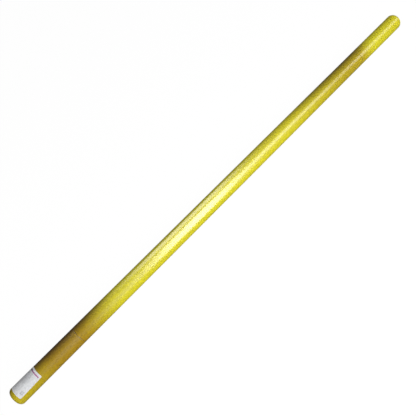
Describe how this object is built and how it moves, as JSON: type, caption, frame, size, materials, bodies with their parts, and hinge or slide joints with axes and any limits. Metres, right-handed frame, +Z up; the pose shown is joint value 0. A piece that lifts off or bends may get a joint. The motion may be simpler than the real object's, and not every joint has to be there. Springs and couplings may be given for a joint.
{
  "type": "windsock and telescopic pole in carry tube",
  "caption": "Windsock and telescopic pole packed closed in a round yellow plastic tube, with pull-off end covers, a plain label, twist-locked mast stages and a swivel head.",
  "frame": {"origin": "on the ground line, under the middle of the closed tube's length", "axes": "+X along the tube from the foot cover to the head cover, +Z up, the label facing up"},
  "size_m": [1.6, 0.05, 0.0505],
  "materials": {
    "yellow_tube": "glossy extruded plastic, fine orange peel, light handling scratches",
    "label_paper": "matt self-adhesive paper",
    "black_nylon": "fine moulded grain",
    "white_acetal": "turned, satin",
    "black_rubber": "matt",
    "galvanised_steel": "hot-dip galvanised, spangled",
    "zinc_steel": "zinc plated",
    "spring_steel": "drawn spring wire",
    "mast_aluminium": "drawn and anodised, satin",
    "turned_aluminium": "turned",
    "brass": "turned",
    "orange_ripstop": "coated ripstop nylon",
    "black_webbing": "hook-and-loop webbing"
  },
  "bodies": {
    "carry_tube": {"body_tube": "yellow_tube", "lower_coupler": "black_nylon", "lower_seal_ring": "black_rubber", "upper_coupler": "black_nylon", "upper_seal_ring": "black_rubber", "ground_spike": "galvanised_steel", "spike_washer": "zinc_steel", "spike_nut": "zinc_steel", "mast_bumper": "black_rubber"},
    "foot_cover": {"foot_cover": "yellow_tube", "foot_label": "label_paper"},
    "mid_stage": {"mid_tube": "mast_aluminium", "mid_foot_plug": "black_nylon", "mid_lock_stud": "zinc_steel", "mid_mouth_bush": "black_nylon"},
    "mid_lock": {"mid_lock_cone": "brass", "mid_expander": "white_acetal"},
    "top_stage": {"top_tube": "mast_aluminium", "top_foot_plug": "black_nylon", "top_lock_stud": "zinc_steel", "head_plug": "turned_aluminium", "head_spindle": "zinc_steel", "thrust_washer": "brass", "spindle_washer": "zinc_steel", "spindle_nut": "zinc_steel"},
    "top_lock": {"top_lock_cone": "brass", "top_expander": "white_acetal"},
    "swivel_head": {"swivel_yoke": "turned_aluminium", "lower_pivot_bush": "white_acetal", "upper_pivot_bush": "white_acetal", "tilt_pin": "zinc_steel", "mouth_stem": "turned_aluminium", "stem_cap": "black_rubber", "rib_hub": "black_nylon", "rib_wire": "spring_steel", "mouth_rib_1": "spring_steel", "mouth_rib_2": "spring_steel", "mouth_rib_3": "spring_steel", "mouth_rib_4": "spring_steel", "furled_windsock": "orange_ripstop", "sock_strap": "black_webbing"},
    "head_cover": {"head_cover": "yellow_tube"}
  },
  "joints": [
    {"name": "foot_cover_pull", "type": "slide", "parent": "carry_tube", "child": "foot_cover", "axis": [-1, 0, 0], "range_m": [0, 0.25]},
    {"name": "mid_stage_slide", "type": "slide", "parent": "carry_tube", "child": "mid_stage", "axis": [1, 0, 0], "range_m": [0, 1.045]},
    {"name": "mid_lock_turn", "type": "hinge", "parent": "mid_stage", "child": "mid_lock", "pos_m": [-0.518, 0, 0.025], "axis": [1, 0, 0], "range_deg": [0, 180]},
    {"name": "top_stage_slide", "type": "slide", "parent": "mid_stage", "child": "top_stage", "axis": [1, 0, 0], "range_m": [0, 1.025]},
    {"name": "top_lock_turn", "type": "hinge", "parent": "top_stage", "child": "top_lock", "pos_m": [-0.45, 0, 0.025], "axis": [1, 0, 0], "range_deg": [0, 180]},
    {"name": "head_swivel", "type": "hinge", "parent": "top_stage", "child": "swivel_head", "pos_m": [0.652, 0, 0.025], "axis": [1, 0, 0], "continuous": true},
    {"name": "head_cover_pull", "type": "slide", "parent": "top_stage", "child": "head_cover", "axis": [1, 0, 0], "range_m": [0, 0.25]}
  ]
}
